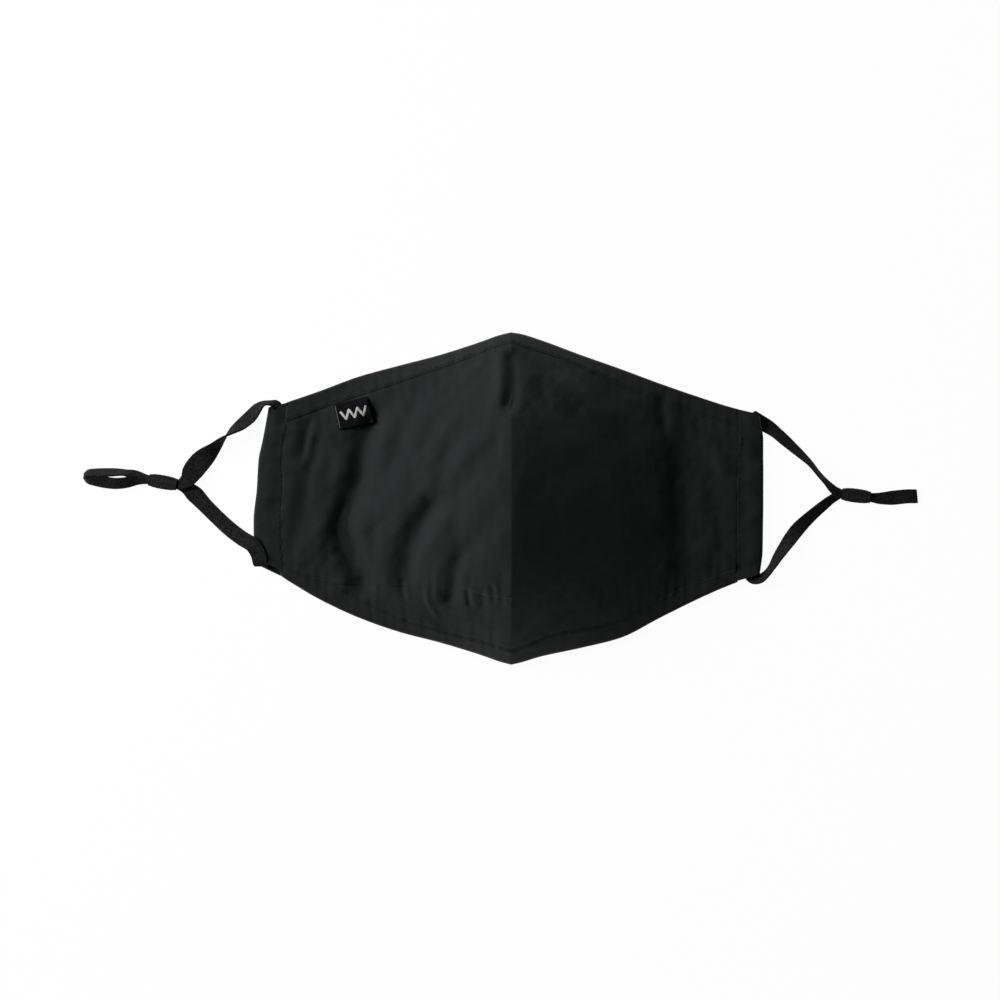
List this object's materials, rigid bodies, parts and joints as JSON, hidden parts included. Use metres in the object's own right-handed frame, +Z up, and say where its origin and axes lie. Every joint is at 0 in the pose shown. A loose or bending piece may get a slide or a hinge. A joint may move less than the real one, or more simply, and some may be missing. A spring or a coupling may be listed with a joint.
{
  "type": "cloth face mask",
  "caption": "Cloth mask that covers nose, mouth and chin, with flat elastic ear loops and sliders, lying face up with its loops spread.",
  "frame": {"origin": "on the resting surface, under the middle of the cloth body's bounding box", "axes": "+X from the wearer's side with the label across to the other side, +Y towards the nose, +Z up and out of the mask's front"},
  "size_m": [0.384, 0.1526, 0.0459],
  "materials": {
    "cloth": "matt black woven cotton",
    "elastic": "matt black knitted elastic",
    "knit": "matt black tubular knit",
    "woven_label": "black woven tape with a light pattern"
  },
  "bodies": {
    "root": {"panel_left": "cloth", "panel_right": "cloth", "chin_left": "cloth", "chin_right": "cloth", "top_hem": "cloth", "low_hem": "cloth", "channel_left": "cloth", "channel_right": "cloth", "ear_loop_left": "elastic", "ear_loop_right": "elastic", "slider_left": "knit", "slider_right": "knit", "label": "woven_label"}
  },
  "joints": []
}
